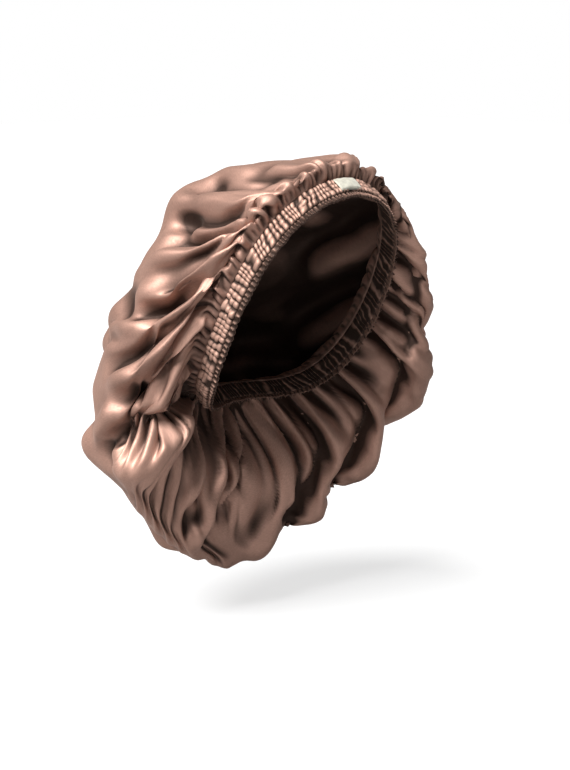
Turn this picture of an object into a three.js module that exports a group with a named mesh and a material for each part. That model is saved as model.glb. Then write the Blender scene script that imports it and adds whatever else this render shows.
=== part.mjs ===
// Sleep bonnet in its worn shape: a large round of satin gathered into a ruched elastic casing.
// Millimetres. +Z is up, the front is towards -Y and the wearer's right towards -X.
// The origin is the middle of the head opening.
// Two numbers place a point of the cloth: the angle round the opening, which is 0 at the front,
// 90 at the wearer's right and 180 at the nape, and the way t from the casing, 0, to the tip, 1.
import * as THREE from 'three';

// Reads a table with one row for each section, fold or dent.
const table = (columns, rows) =>
  rows.map((row) => Object.fromEntries(columns.map((column, i) => [column, row[i]])));

// Inner edge of the casing, the line that lies on the head
const headLoop = {
  halfWidth: 78,
  halfDepth: 59,
  backShift: -4.5,
  sideForward: 14,
  rise: 83,
  napeSag: 13,
};
const acrossBand = new THREE.Vector3(0, 0.814, 0.581).normalize();

const seamGap = 0.3;
const casing = { width: 14, edge: 0.9, puff: 2.1, ruche: 0.5, ruches: 120 };
const frill = { width: 4, half: 0.55, flare: 1.1 };
const label = { width: 20, height: 12.4, thick: 0.9, lift: 0.35, cells: 8 };
const crown = {
  wall: 1.5,
  columns: 92,
  start: 0.5,
  leave: 0.85,
  gatherFrom: 0.03,
  gatherTo: 0.3,
  gather: 0.9,
  mostRelief: 15,
  bunch: 0.3,
  bunchAt: 105,
};
const crownRings = [
  0, 0.012, 0.035, 0.065, 0.1, 0.135, 0.17, 0.205, 0.245, 0.29, 0.335, 0.38, 0.43, 0.48, 0.54, 0.6,
  0.67, 0.74, 0.82, 0.91,
];
// How much folds widen and rise between the casing and a way t into the bag
const foldGrowth = { nearWidth: 0.6, farWidth: 1.9, nearHeight: 0.75, farHeight: 1.35, by: 0.34, cut: 6 };
const crownTip = new THREE.Vector3(0, 159, -76);

// Where the cloth stands just behind the casing at the front, at the sides and at the nape:
// across from the casing's inner edge, and out from the head
const collar = { t: 0.065, across: [22, 23, 17], out: [9, 8.5, 17] };

// Plane sections of the bag from the casing back to the tip: the highest and the lowest point,
// the half widths, how far down the section is widest, how round it is above and below that,
// and how far its sides swell forward
const crownSections = table(
  ['t', 'topY', 'topZ', 'lowY', 'lowZ', 'right', 'left', 'widest', 'above', 'below', 'bowR', 'bowL'],
  [
    [0.16, -35, 101, 50, -146, 102, 115, 0.55, 1.05, 0.8, -6, 38],
    [0.27, -8, 99, 54, -188, 114, 129, 0.56, 1.1, 0.9, -10, 42],
    [0.39, 32, 95, 64, -219, 121, 135, 0.54, 1.15, 1.3, -7, 30],
    [0.52, 71, 82, 88, -216, 116, 122, 0.54, 1.3, 1.6, -3, 12],
    [0.66, 106, 42, 118, -186, 98, 100, 0.54, 1.45, 1.5, 0, 0],
    [0.8, 135, -8, 142, -144, 70, 70, 0.52, 1.25, 1.25, 0, 0],
    [0.92, 152, -48, 154, -104, 34, 34, 0.5, 1, 1, 0, 0],
  ],
);

// Folds: a crest through three places, going back from the casing, the flank behind it, its height,
// the way down to the crease beside it, the crease's depth and the way back up. Side 1 has the
// crease at the larger angles, and a row with no height is a crease alone.
const crownFolds = table(
  ['a0', 't0', 'a1', 't1', 'a2', 't2', 'back', 'height', 'fall', 'depth', 'recover', 'side'],
  [
    [49, 0.03, 35, 0.22, 31, 0.5, 13, 6, 8, 7, 10, 1],
    [55, 0.01, 42, 0.2, 38, 0.46, 12, 7, 7, 13, 11, 1],
    [60, 0.02, 49, 0.19, 55, 0.46, 8, 8, 12, 6, 6, 1],
    [67, 0, 60, 0.14, 60, 0.46, 9, 7, 9, 17, 9, 1],
    [80, 0.01, 69, 0.16, 75, 0.56, 8, 7, 9, 9, 8, 1],
    [70, 0.34, 69, 0.47, 66, 0.64, 6, 4, 4, 4, 5, 1],
    [80, 0, 75, 0.09, 74, 0.16, 6, 4, 4, 5, 5, 1],
    [88, 0, 78, 0.14, 84, 0.38, 8, 7, 7, 15, 9, 1],
    [102, 0, 86, 0.19, 83, 0.48, 8, 8, 9, 14, 11, 1],
    [85, 0.34, 93, 0.42, 103, 0.57, 10, 6, 4, 7, 6, 1],
    [118, 0.01, 113, 0.13, 106, 0.24, 7, 6, 6, 12, 8, 1],
    [111, 0.03, 107, 0.14, 100, 0.26, 6, 0, 6, 9, 6, 1],
    [174, 0.01, 124, 0.15, 106, 0.47, 20, 14, 12, 10, 10, -1],
    [160, 0.01, 156, 0.11, 150, 0.24, 6, 5, 5, 7, 7, 1],
    [188, 0.03, 171, 0.14, 161, 0.24, 7, 0, 7, 9, 7, 1],
    [182, 0.02, 167, 0.19, 152, 0.37, 7, 7, 5, 9, 14, 1],
    [186, 0.08, 177, 0.16, 169, 0.22, 5, 4, 4, 5, 5, 1],
    [200, 0.01, 196, 0.2, 192, 0.42, 12, 8, 10, 8, 11, 1],
    [221, 0.01, 216, 0.22, 212, 0.46, 13, 9, 10, 8, 12, -1],
    [242, 0.01, 236, 0.24, 234, 0.5, 14, 9, 9, 9, 12, -1],
    [262, 0.06, 256, 0.32, 252, 0.56, 14, 10, 9, 9, 12, -1],
    [290, 0, 281, 0.1, 262, 0.22, 8, 7, 7, 9, 8, -1],
    [302, 0, 292, 0.14, 277, 0.36, 12, 10, 8, 10, 9, -1],
    [300, 0.3, 294, 0.44, 286, 0.66, 14, 9, 10, 8, 12, -1],
    [338, 0, 330, 0.12, 322, 0.26, 15, 7, 10, 10, 11, -1],
    [322, 0.24, 316, 0.38, 308, 0.58, 15, 9, 10, 9, 12, -1],
    [350, 0.06, 344, 0.3, 336, 0.56, 16, 8, 10, 8, 12, -1],
    [14, 0, 12, 0.26, 14, 0.5, 20, 4, 14, 2, 12, 1],
    [24, 0.58, 16, 0.74, 350, 0.92, 14, 7, 10, 6, 12, 1],
    [60, 0.56, 60, 0.74, 64, 0.94, 14, 7, 10, 7, 12, 1],
    [104, 0.58, 106, 0.74, 112, 0.94, 14, 7, 10, 7, 12, -1],
    [146, 0.46, 148, 0.64, 150, 0.88, 15, 7, 11, 7, 12, 1],
    [190, 0.5, 196, 0.68, 206, 0.9, 15, 7, 11, 7, 12, -1],
    [240, 0.54, 242, 0.72, 250, 0.92, 14, 7, 11, 7, 12, 1],
    [282, 0.6, 284, 0.76, 296, 0.94, 14, 7, 10, 6, 12, -1],
    [330, 0.6, 326, 0.76, 316, 0.94, 14, 7, 10, 6, 12, 1],
  ],
);

// Dents and swells: the place, the radius and the height, which is negative for a dent
const crownDents = table(
  ['a', 't', 'radius', 'height'],
  [
    [22, 0.42, 15, -9],
    [14, 0.3, 12, -6],
    [21, 0.24, 11, -5],
    [26, 0.08, 9, -4],
    [37, 0.4, 18, -9],
    [62, 0.5, 25, -9],
    [88, 0.32, 15, -7],
    [101, 0.36, 21, -8],
    [106, 0.49, 16, -7],
    [155, 0.25, 16, -4],
    [168, 0.35, 20, -6],
    [174, 0.22, 15, -4],
    [27, 0.49, 34, 12],
    [18, 0.44, 26, 4],
    [109, 0.61, 34, 8],
    [90, 0.64, 26, 4],
    [54, 0.6, 30, -6],
    [291, 0.19, 22, -5],
    [331, 0.08, 14, -5],
    [314, 0.12, 14, -6],
    [272, 0.24, 30, 6],
    [318, 0.46, 24, -7],
    [268, 0.5, 24, -7],
    [225, 0.6, 26, -7],
    [130, 0.7, 24, -6],
    [10, 0.66, 22, -6],
  ],
);

const radians = THREE.MathUtils.degToRad;
const { smoothstep } = THREE.MathUtils;

function loopPoint(angle) {
  const c = Math.cos(angle);
  const s = Math.sin(angle);
  return new THREE.Vector3(
    -headLoop.halfWidth * s,
    -headLoop.halfDepth * c + headLoop.backShift - headLoop.sideForward * s * s,
    headLoop.rise * c - headLoop.napeSag * s * s * (1 - c) ** 2,
  );
}

// Direction away from the head, square to the casing
function loopOutward(angle) {
  const step = 0.01;
  const along = loopPoint(angle + step).sub(loopPoint(angle - step));
  return acrossBand.clone().cross(along).normalize();
}

// Point on the casing's own section: across from its inner edge, and out from the head
function bandPoint(angle, across, out) {
  return loopPoint(angle).addScaledVector(acrossBand, across).addScaledVector(loopOutward(angle), out);
}

function sectionPoint(row, angle) {
  const c = Math.cos(angle);
  const s = Math.sin(angle);
  const down = c > 0 ? row.widest * (1 - c) : row.widest - (1 - row.widest) * c;
  const half = s >= 0 ? row.right : row.left;
  const bow = (s >= 0 ? row.bowR : row.bowL) * s * s;
  const width = half * Math.abs(s) ** (c < 0 ? row.below : row.above);
  return new THREE.Vector3(
    -Math.sign(s) * width,
    row.topY + (row.lowY - row.topY) * down - bow,
    row.topZ + (row.lowZ - row.topZ) * down,
  );
}

function collarPoint(angle) {
  const c = Math.cos(angle);
  const share = [Math.max(c, 0) ** 2, Math.sin(angle) ** 2, Math.max(-c, 0) ** 2];
  const blend = (values) => values.reduce((sum, value, i) => sum + share[i] * value, 0);
  return bandPoint(angle, blend(collar.across), blend(collar.out));
}

// One meridian of the smooth bag: its points in order, and its way off the casing
function meridian(angle) {
  const start = bandPoint(angle, casing.width + seamGap, crown.start);
  const stops = [0, collar.t, ...crownSections.map((row) => row.t), 1];
  const sections = crownSections.map((row) => sectionPoint(row, angle));
  const points = [start, collarPoint(angle), ...sections, crownTip];
  const slopes = points.map((point, i) => {
    if (i === 0) {
      const first = points[1].distanceTo(point) / stops[1];
      const out = loopOutward(angle).multiplyScalar(Math.sqrt(1 - crown.leave ** 2));
      return out.addScaledVector(acrossBand, crown.leave).multiplyScalar(first);
    }
    const before = points[i - 1];
    const after = points[Math.min(i + 1, points.length - 1)];
    return after.clone().sub(before).divideScalar(stops[Math.min(i + 1, stops.length - 1)] - stops[i - 1]);
  });
  return { stops, points, slopes };
}

function meridianPoint({ stops, points, slopes }, t) {
  const i = Math.min(stops.findLastIndex((stop) => stop <= t), stops.length - 2);
  const span = stops[i + 1] - stops[i];
  const u = (t - stops[i]) / span;
  return new THREE.Vector3()
    .addScaledVector(points[i], 2 * u ** 3 - 3 * u ** 2 + 1)
    .addScaledVector(slopes[i], span * (u ** 3 - 2 * u ** 2 + u))
    .addScaledVector(points[i + 1], -2 * u ** 3 + 3 * u ** 2)
    .addScaledVector(slopes[i + 1], span * (u ** 3 - u ** 2));
}

const bagPoint = (degrees, t) => meridianPoint(meridian(radians(degrees)), t);

// Crest of a fold as short straight steps on the smooth bag
function crestLine(fold, steps = 14) {
  return Array.from({ length: steps + 1 }, (_, i) => {
    const u = i / steps;
    const [first, middle, last] = [(1 - u) * (1 - 2 * u), 4 * u * (1 - u), u * (2 * u - 1)];
    const angle = fold.a0 * first + fold.a1 * middle + fold.a2 * last;
    const t = fold.t0 * first + fold.t1 * middle + fold.t2 * last;
    return bagPoint(angle, t);
  });
}

// How far a fold lifts its crest and sinks its crease at a point of the smooth bag
function foldParts(fold, point, normal, t) {
  const steps = fold.crest.length - 1;
  let near = { distance: Infinity };
  for (let i = 0; i < steps; i += 1) {
    const from = fold.crest[i];
    const step = fold.crest[i + 1].clone().sub(from);
    const k = THREE.MathUtils.clamp(point.clone().sub(from).dot(step) / step.lengthSq(), 0, 1);
    const distance = from.clone().addScaledVector(step, k).distanceTo(point);
    if (distance < near.distance) near = { distance, u: (i + k) / steps, from, step };
  }
  const grown = smoothstep(t, 0, foldGrowth.by);
  const wide = THREE.MathUtils.lerp(foldGrowth.nearWidth, foldGrowth.farWidth, grown);
  const tall = THREE.MathUtils.lerp(foldGrowth.nearHeight, foldGrowth.farHeight, grown);
  const ends = tall * smoothstep(near.u, 0, 0.15) * (1 - smoothstep(near.u, 0.8, 1.02));
  const turn = near.step.clone().cross(point.clone().sub(near.from)).dot(normal);
  const x = (near.distance * (turn < 0 ? -1 : 1) * fold.side) / wide;
  return { lift: ends * fold.height * foldLift(fold, x), sink: ends * fold.depth * foldSink(fold, x) };
}

// Share of a fold's height on its back and on the way down
function foldLift({ back, fall }, x) {
  if (x < 0) return Math.max(1 - (x / back) ** 2, 0) ** 2;
  return (1 + Math.cos(Math.PI * Math.min(x / fall, 1))) / 2;
}

// Share of its crease's depth on the way down and on the way back up
function foldSink({ fall, recover }, x) {
  if (x < 0) return 0;
  return x < fall ? (x / fall) ** 1.5 : Math.max(1 - (x - fall) / recover, 0) ** 1.7;
}

// The highest crest and the deepest crease count, and a crease cuts through the crests beside it
function foldRelief(folds, point, normal, t) {
  const parts = folds.map((fold) => foldParts(fold, point, normal, t));
  const sink = Math.max(...parts.map((part) => part.sink));
  return Math.max(...parts.map((part) => part.lift)) * Math.exp(-sink / foldGrowth.cut) - sink;
}

function dentHeight(dent, point) {
  const x = dent.centre.distanceTo(point) / dent.radius;
  return x < 1 ? dent.height * (1 - x * x) ** 2 : 0;
}

// Columns stand closer where the folds are narrow, round one angle of the opening
function columnDegrees(i) {
  const even = (360 * i) / crown.columns;
  return even - crown.bunch * THREE.MathUtils.radToDeg(Math.sin(radians(even - crown.bunchAt)));
}

// Relief evened out with the places all round it, and limited so that steep creases keep whole facets
function easedRelief(reliefs, i, j) {
  const count = reliefs.length;
  const rings = reliefs[i].length;
  let relief = 0;
  for (const round of [-1, 0, 1]) {
    for (const along of [-1, 0, 1]) {
      const row = THREE.MathUtils.clamp(j + along, 0, rings - 1);
      const share = ((2 - Math.abs(round)) * (2 - Math.abs(along))) / 16;
      relief += share * reliefs[(i + round + count) % count][row];
    }
  }
  return crown.mostRelief * Math.tanh(relief / crown.mostRelief);
}

// Grid of the bag, with each point moved along its normal by the folds, dents and gathers
function crownGrid() {
  const folds = crownFolds.map((fold) => ({ ...fold, crest: crestLine(fold) }));
  const dents = crownDents.map((dent) => ({ ...dent, centre: bagPoint(dent.a, dent.t) }));
  const degrees = Array.from({ length: crown.columns }, (_, i) => columnDegrees(i));
  const smooth = degrees.map((angle) => {
    const line = meridian(radians(angle));
    return crownRings.map((t) => meridianPoint(line, t));
  });
  const reliefs = smooth.map((column, i) =>
    column.map((point, j) => {
      const normal = gridNormal(smooth, i, j);
      const folded = foldRelief(folds, point, normal, crownRings[j]);
      return dents.reduce((sum, dent) => sum + dentHeight(dent, point), folded);
    }),
  );
  const folded = smooth.map((column, i) =>
    column.map((point, j) => {
      const t = crownRings[j];
      const relief = easedRelief(reliefs, i, j) * smoothstep(t, 0, 0.05);
      const near = smoothstep(t, 0, crown.gatherFrom) * (1 - smoothstep(t, crown.gatherFrom, crown.gatherTo));
      const gather = crown.gather * near * (i % 2 ? 1 : -1);
      return point.clone().addScaledVector(gridNormal(smooth, i, j), relief + gather);
    }),
  );
  const inside = folded.map((column, i) =>
    column.map((point, j) => point.clone().addScaledVector(gridNormal(folded, i, j), -crown.wall)),
  );
  return { folded, inside };
}

// Normal of a grid that closes round the angles, pointing out of the bag
function gridNormal(grid, i, j) {
  const count = grid.length;
  const rows = grid[i].length;
  const round = grid[(i + 1) % count][j].clone().sub(grid[(i + count - 1) % count][j]);
  const next = j + 1 < rows ? grid[i][j + 1] : crownTip;
  const along = next.clone().sub(grid[i][Math.max(j - 1, 0)]);
  return along.cross(round).normalize();
}

// Body from a list of points and the triangles between them
function solid(points, triangles) {
  const geometry = new THREE.BufferGeometry();
  geometry.setAttribute('position', new THREE.Float32BufferAttribute(points.flatMap((p) => p.toArray()), 3));
  geometry.setIndex(triangles.flat());
  geometry.computeVertexNormals();
  return geometry;
}

function crownGeometry() {
  const { folded, inside } = crownGrid();
  const count = crown.columns;
  const rings = crownRings.length;
  const points = [...folded.flat(), ...inside.flat()];
  const outerTip = points.push(crownTip.clone()) - 1;
  const innerTip = points.push(crownTip.clone().add(new THREE.Vector3(0, -crown.wall, 0))) - 1;
  const outer = (i, j) => (i % count) * rings + j;
  const inner = (i, j) => outer(i, j) + count * rings;
  const triangles = [];
  for (let i = 0; i < count; i += 1) {
    for (let j = 0; j + 1 < rings; j += 1) {
      triangles.push([outer(i, j), outer(i, j + 1), outer(i + 1, j + 1)]);
      triangles.push([outer(i, j), outer(i + 1, j + 1), outer(i + 1, j)]);
      triangles.push([inner(i, j), inner(i + 1, j + 1), inner(i, j + 1)]);
      triangles.push([inner(i, j), inner(i + 1, j), inner(i + 1, j + 1)]);
    }
    triangles.push([outer(i, rings - 1), outerTip, outer(i + 1, rings - 1)]);
    triangles.push([inner(i, rings - 1), inner(i + 1, rings - 1), innerTip]);
    triangles.push([outer(i, 0), outer(i + 1, 0), inner(i + 1, 0)]);
    triangles.push([outer(i, 0), inner(i + 1, 0), inner(i, 0)]);
  }
  return solid(points, triangles);
}

// Closed ring round the head opening from a section that may change from ruche to ruche
function bandRing(section) {
  const count = casing.ruches * 2;
  const rows = Array.from({ length: count }, (_, i) =>
    section(i % 2 === 0).map(([across, out]) => bandPoint((2 * Math.PI * i) / count, across, out)),
  );
  const size = rows[0].length;
  const at = (i, k) => (i % count) * size + (k % size);
  const triangles = [];
  for (let i = 0; i < count; i += 1) {
    for (let k = 0; k < size; k += 1) {
      triangles.push([at(i, k), at(i + 1, k), at(i + 1, k + 1)]);
      triangles.push([at(i, k), at(i + 1, k + 1), at(i, k + 1)]);
    }
  }
  return solid(rows.flat(), triangles);
}

function casingGeometry() {
  const { width, edge, puff, ruche } = casing;
  return bandRing((crest) => [
    [0, -edge],
    [width, -edge],
    [width, edge],
    [width / 2, puff + (crest ? ruche : -ruche)],
    [0, edge],
  ]);
}

function frillGeometry() {
  const tip = -seamGap - frill.width;
  return bandRing((crest) => {
    const lean = crest ? frill.flare : -frill.flare;
    return [
      [-seamGap, frill.half],
      [tip, lean + frill.half],
      [tip, lean - frill.half],
      [-seamGap, -frill.half],
    ];
  });
}

// Bare tab laid over the outside of the casing at the front
function labelGeometry() {
  const low = casing.puff + casing.ruche + label.lift;
  const from = (casing.width - label.height) / 2;
  const corners = [
    [from, low],
    [from + label.height, low],
    [from + label.height, low + label.thick],
    [from, low + label.thick],
  ];
  const reach = label.width / 2 / headLoop.halfWidth;
  const points = [];
  for (let i = 0; i <= label.cells; i += 1) {
    const angle = -reach + (2 * reach * i) / label.cells;
    points.push(...corners.map(([across, out]) => bandPoint(angle, across, out)));
  }
  const triangles = [[0, 1, 2], [0, 2, 3]];
  for (let i = 0; i < label.cells; i += 1) {
    for (let k = 0; k < 4; k += 1) {
      const [a, b] = [i * 4 + k, i * 4 + ((k + 1) % 4)];
      triangles.push([a, a + 4, b + 4], [a, b + 4, b]);
    }
  }
  const last = label.cells * 4;
  triangles.push([last, last + 2, last + 1], [last, last + 3, last + 2]);
  return solid(points, triangles);
}

function piece(name, geometry, color, roughness) {
  const mesh = new THREE.Mesh(geometry, new THREE.MeshStandardMaterial({ color, roughness, metalness: 0 }));
  mesh.name = name;
  return mesh;
}

const group = new THREE.Group();
group.add(piece('crown', crownGeometry(), 0x8a6a5e, 0.38));
group.add(piece('elastic_casing', casingGeometry(), 0x8f6f60, 0.42));
group.add(piece('edge_frill', frillGeometry(), 0x7d5d50, 0.45));
group.add(piece('label', labelGeometry(), 0xcfcdbd, 0.7));

export default group;
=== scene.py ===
import math
import bpy
import numpy as np
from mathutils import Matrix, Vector


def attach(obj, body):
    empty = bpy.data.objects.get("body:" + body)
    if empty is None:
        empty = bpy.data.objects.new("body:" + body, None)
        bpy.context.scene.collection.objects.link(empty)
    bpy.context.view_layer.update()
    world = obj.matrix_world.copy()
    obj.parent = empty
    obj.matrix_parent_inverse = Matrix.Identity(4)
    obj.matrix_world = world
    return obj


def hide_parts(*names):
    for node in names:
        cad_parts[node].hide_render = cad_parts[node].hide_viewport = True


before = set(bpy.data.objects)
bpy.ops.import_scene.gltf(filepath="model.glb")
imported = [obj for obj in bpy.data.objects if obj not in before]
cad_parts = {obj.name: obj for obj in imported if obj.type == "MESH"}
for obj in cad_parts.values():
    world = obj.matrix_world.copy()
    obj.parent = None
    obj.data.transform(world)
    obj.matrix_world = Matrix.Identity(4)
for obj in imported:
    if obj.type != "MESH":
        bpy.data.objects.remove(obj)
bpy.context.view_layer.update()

mm = 0.001
rng = np.random.default_rng(7)
phases = (0, 6.28)  # one wave round, for the random waves
print("frame loaded:", sorted(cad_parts))

# The lie of the cloth: the angle round the head opening, in degrees, is 0 at the front, 90 at the
# wearer's right and 180 at the nape, and t runs from the casing, 0, to the tip of the bag, 1.
# Lengths in the tables are millimetres.
opening = dict(
    halfWidth=78.0, halfDepth=59.0, backShift=-4.5, sideForward=14.0, rise=83.0, napeSag=13.0,
)
acrossBand = np.array([0.0, 0.814, 0.581]) / np.linalg.norm([0.0, 0.814, 0.581])

bag = dict(
    columns=640, rows=122, insideEvery=2,  # the inner face takes every second point of the outer one
    reach=0.985, evenRows=0.55, drawnRows=0.45, drawn=1.8,  # rows stand closer near the casing
    bandWidth=14.0, seamGap=0.3, start=0.5, leave=0.85, tip=(0.0, 159.0, -76.0),
    wall=0.9, evenPasses=10, reachUnder=3, deepest=3.5, softPasses=6,  # the inner face
    flatRadius=0.32,  # metres, of the round that the cloth was cut to
)
sectionColumns = (
    "t", "topY", "topZ", "lowY", "lowZ", "right", "left", "widest", "above", "below", "bowR", "bowL",
)
bagSections = [dict(zip(sectionColumns, row)) for row in (
    (0.16, -35, 101, 50, -146, 102, 115, 0.55, 1.05, 0.8, -6, 38),
    (0.27, -8, 99, 54, -188, 114, 129, 0.56, 1.1, 0.9, -10, 42),
    (0.39, 32, 95, 64, -219, 121, 135, 0.54, 1.15, 1.3, -7, 30),
    (0.52, 71, 82, 88, -216, 116, 122, 0.54, 1.3, 1.6, -3, 12),
    (0.66, 106, 42, 118, -186, 98, 100, 0.54, 1.45, 1.5, 0, 0),
    (0.8, 135, -8, 142, -144, 70, 70, 0.52, 1.25, 1.25, 0, 0),
    (0.92, 152, -48, 154, -104, 34, 34, 0.5, 1.0, 1.0, 0, 0),
)]
# Where the cloth stands just behind the casing: across and out at the front, the sides and the nape
collar = dict(t=0.065, across=(22.0, 23.0, 17.0), out=(9.0, 8.5, 17.0))

# Folds: a crest through three places, going back from the casing, the flank behind it, its height,
# the way down to the crease beside it, the crease's depth and the way back up. Side 1 has the crease
# at larger angles, and a row with no height is a crease alone.
foldColumns = ("a0", "t0", "a1", "t1", "a2", "t2", "back", "height", "fall", "depth", "recover", "side")
bagFolds = [dict(zip(foldColumns, row)) for row in (
    (49, 0.03, 35, 0.22, 31, 0.5, 13, 6, 8, 7, 10, 1),
    (55, 0.01, 42, 0.2, 38, 0.46, 12, 7, 7, 13, 11, 1),
    (60, 0.02, 49, 0.19, 55, 0.46, 8, 8, 12, 6, 6, 1),
    (67, 0, 60, 0.14, 60, 0.46, 9, 7, 9, 17, 9, 1),
    (80, 0.01, 69, 0.16, 75, 0.56, 8, 7, 9, 9, 8, 1),
    (70, 0.34, 69, 0.47, 66, 0.64, 6, 4, 4, 4, 5, 1),
    (80, 0, 75, 0.09, 74, 0.16, 6, 4, 4, 5, 5, 1),
    (88, 0, 78, 0.14, 84, 0.38, 8, 7, 7, 15, 9, 1),
    (102, 0, 86, 0.19, 83, 0.48, 8, 8, 9, 14, 11, 1),
    (85, 0.34, 93, 0.42, 103, 0.57, 10, 6, 4, 7, 6, 1),
    (118, 0.01, 113, 0.13, 106, 0.24, 7, 6, 6, 12, 8, 1),
    (111, 0.03, 107, 0.14, 100, 0.26, 6, 0, 6, 9, 6, 1),
    (174, 0.01, 124, 0.15, 106, 0.47, 20, 14, 12, 10, 10, -1),
    (160, 0.01, 156, 0.11, 150, 0.24, 6, 5, 5, 7, 7, 1),
    (188, 0.03, 171, 0.14, 161, 0.24, 7, 0, 7, 9, 7, 1),
    (182, 0.02, 167, 0.19, 152, 0.37, 7, 7, 5, 9, 14, 1),
    (186, 0.08, 177, 0.16, 169, 0.22, 5, 4, 4, 5, 5, 1),
    (200, 0.01, 196, 0.2, 192, 0.42, 12, 8, 10, 8, 11, 1),
    (221, 0.01, 216, 0.22, 212, 0.46, 13, 9, 10, 8, 12, -1),
    (242, 0.01, 236, 0.24, 234, 0.5, 14, 9, 9, 9, 12, -1),
    (262, 0.06, 256, 0.32, 252, 0.56, 14, 10, 9, 9, 12, -1),
    (290, 0, 281, 0.1, 262, 0.22, 9, 6, 8, 5, 10, -1),
    (302, 0, 292, 0.14, 277, 0.36, 12, 8, 9, 6, 11, -1),
    (300, 0.3, 294, 0.44, 286, 0.66, 14, 9, 10, 8, 12, -1),
    (338, 0, 330, 0.12, 322, 0.26, 15, 6, 11, 6, 12, -1),
    (322, 0.24, 316, 0.38, 308, 0.58, 15, 9, 10, 9, 12, -1),
    (350, 0.06, 344, 0.3, 336, 0.56, 16, 8, 10, 8, 12, -1),
    (14, 0, 12, 0.26, 14, 0.5, 20, 4, 14, 2, 12, 1),
    (24, 0.58, 16, 0.74, 350, 0.92, 14, 7, 10, 6, 12, 1),
    (60, 0.56, 60, 0.74, 64, 0.94, 14, 7, 10, 7, 12, 1),
    (104, 0.58, 106, 0.74, 112, 0.94, 14, 7, 10, 7, 12, -1),
    (146, 0.46, 148, 0.64, 150, 0.88, 15, 7, 11, 7, 12, 1),
    (190, 0.5, 196, 0.68, 206, 0.9, 15, 7, 11, 7, 12, -1),
    (240, 0.54, 242, 0.72, 250, 0.92, 14, 7, 11, 7, 12, 1),
    (282, 0.6, 284, 0.76, 296, 0.94, 14, 7, 10, 6, 12, -1),
    (330, 0.6, 326, 0.76, 316, 0.94, 14, 7, 10, 6, 12, 1),
)]
# Dents and swells: the place, the radius and the height, which is negative for a dent
dentColumns = ("a", "t", "radius", "height")
bagDents = [dict(zip(dentColumns, row)) for row in (
    (22, 0.42, 21, -8), (14, 0.3, 17, -4), (21, 0.24, 16, -3), (26, 0.08, 9, -4),
    (37, 0.4, 18, -9), (62, 0.5, 25, -9), (88, 0.32, 15, -7), (101, 0.36, 21, -8), (106, 0.49, 16, -7),
    (155, 0.25, 16, -4), (168, 0.35, 20, -6), (174, 0.22, 15, -4),
    (27, 0.49, 34, 12), (18, 0.44, 26, 4), (109, 0.61, 34, 8), (90, 0.64, 26, 4), (54, 0.6, 30, -6),
    (291, 0.19, 22, -5), (331, 0.08, 14, -2), (314, 0.12, 16, -3), (272, 0.24, 30, 6),
    (318, 0.46, 24, -7), (268, 0.5, 24, -7), (225, 0.6, 26, -7), (130, 0.7, 24, -6), (10, 0.66, 22, -6),
)]


def smoothStep(x, low, high):
    x = np.clip((x - low) / (high - low), 0.0, 1.0)
    return x * x * (3 - 2 * x)


def partly(share, x):
    # Goes from share to 1 as x goes from 0 to 1
    return share + (1 - share) * x


def unit(v):
    return v / np.maximum(np.linalg.norm(v, axis=-1, keepdims=True), 1e-12)


def loopPoint(angle):
    # Front edge of the casing, round the head opening
    c, s = np.cos(angle), np.sin(angle)
    return np.stack([
        -opening["halfWidth"] * s,
        -opening["halfDepth"] * c + opening["backShift"] - opening["sideForward"] * s * s,
        opening["rise"] * c - opening["napeSag"] * s * s * (1 - c) ** 2,
    ], -1)


def loopOutward(angle, step=0.01):
    along = loopPoint(angle + step) - loopPoint(angle - step)
    return unit(np.cross(acrossBand, along))


def bandPoint(angle, across, out):
    across, out = np.asarray(across)[..., None], np.asarray(out)[..., None]
    return loopPoint(angle) + acrossBand * across + loopOutward(angle) * out


def sectionPoint(row, angle):
    c, s = np.cos(angle), np.sin(angle)
    down = np.where(c > 0, row["widest"] * (1 - c), row["widest"] - (1 - row["widest"]) * c)
    half = np.where(s >= 0, row["right"], row["left"])
    bow = np.where(s >= 0, row["bowR"], row["bowL"]) * s * s
    width = half * np.abs(s) ** np.where(c < 0, row["below"], row["above"])
    return np.stack([
        -np.sign(s) * width,
        row["topY"] + (row["lowY"] - row["topY"]) * down - bow,
        row["topZ"] + (row["lowZ"] - row["topZ"]) * down,
    ], -1)


def collarPoint(angle):
    c, s = np.cos(angle), np.sin(angle)
    share = (np.clip(c, 0, 1) ** 2, s * s, np.clip(-c, 0, 1) ** 2)
    across, out = (sum(w * v for w, v in zip(share, collar[k])) for k in ("across", "out"))
    return bandPoint(angle, across, out)


def atStop(values, i):
    # Each point's own row of the values
    return np.take_along_axis(values, i[None, ..., None], 0)[0]


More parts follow.
